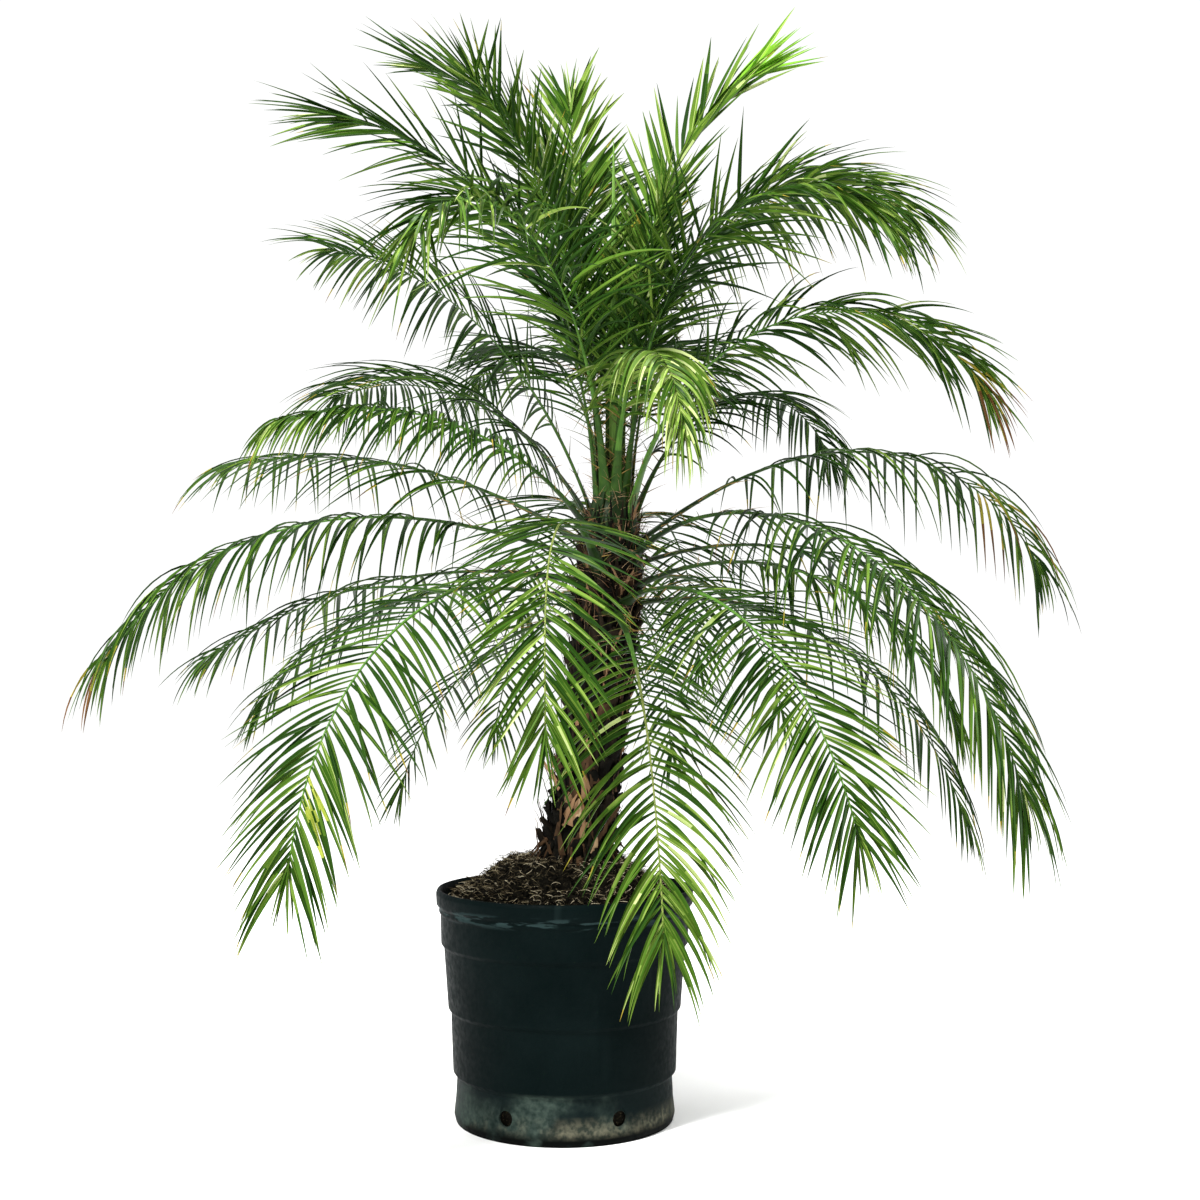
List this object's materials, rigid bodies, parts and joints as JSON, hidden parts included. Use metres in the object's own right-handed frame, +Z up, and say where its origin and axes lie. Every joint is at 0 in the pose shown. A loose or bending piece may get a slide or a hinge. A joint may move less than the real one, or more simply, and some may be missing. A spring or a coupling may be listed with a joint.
{
  "type": "pygmy date palm in a nursery pot",
  "caption": "Potted pygmy date palm: one leaning trunk of old leaf bases, a full crown of arching feather fronds, and a round black pot with a rolled rim.",
  "frame": {"origin": "middle of the pot's flat underside", "axes": "+Z up along the pot's axis, +X to the right of the widest view of the crown, and +Y away from that view"},
  "size_m": [1.7823, 1.4209, 1.9252],
  "materials": {
    "pot": "matte black with grey dust round the foot",
    "soil": "dry crumbly potting mix and fine roots",
    "trunk": "rough, dark old leaf bases",
    "spear": "young folded leaf",
    "frond": "semi-gloss leaf"
  },
  "bodies": {
    "root": {"pot": "pot", "soil": "soil", "trunk": "trunk", "spear": "spear", "frond_left_upper": "frond", "frond_left_long": "frond", "frond_left_shaded": "frond", "frond_left_front": "frond", "frond_left_behind": "frond", "frond_left_low": "frond", "frond_front_left": "frond", "frond_front_left_tip": "frond", "frond_front_low": "frond", "frond_front_right": "frond", "frond_right_arch": "frond", "frond_right_long": "frond", "frond_right_long_tip": "frond", "frond_right_middle": "frond", "frond_right_front": "frond", "frond_right_low": "frond", "crown_left_back": "frond", "crown_left_front": "frond", "crown_left_low": "frond", "crown_left_tall": "frond", "crown_left_high": "frond", "crown_front_left": "frond", "crown_front_left_tip": "frond", "crown_top_left": "frond", "crown_top_back": "frond", "crown_top_right": "frond", "crown_right_high": "frond", "crown_right_front": "frond", "crown_right_front_tip": "frond", "crown_right_wide": "frond", "crown_right_wide_tip": "frond", "crown_right_back": "frond", "crown_right_back_tip": "frond", "crown_front": "frond", "crown_front_tip": "frond", "crown_back": "frond", "crown_back_left": "frond", "crown_back_right": "frond", "crown_back_tall": "frond", "crown_heart_left": "frond", "crown_heart_right": "frond", "frond_back_right": "frond", "frond_back_right_tip": "frond", "frond_back_left": "frond", "frond_back": "frond", "frond_back_low_left": "frond", "frond_back_low": "frond", "frond_back_low_right": "frond"}
  },
  "joints": []
}
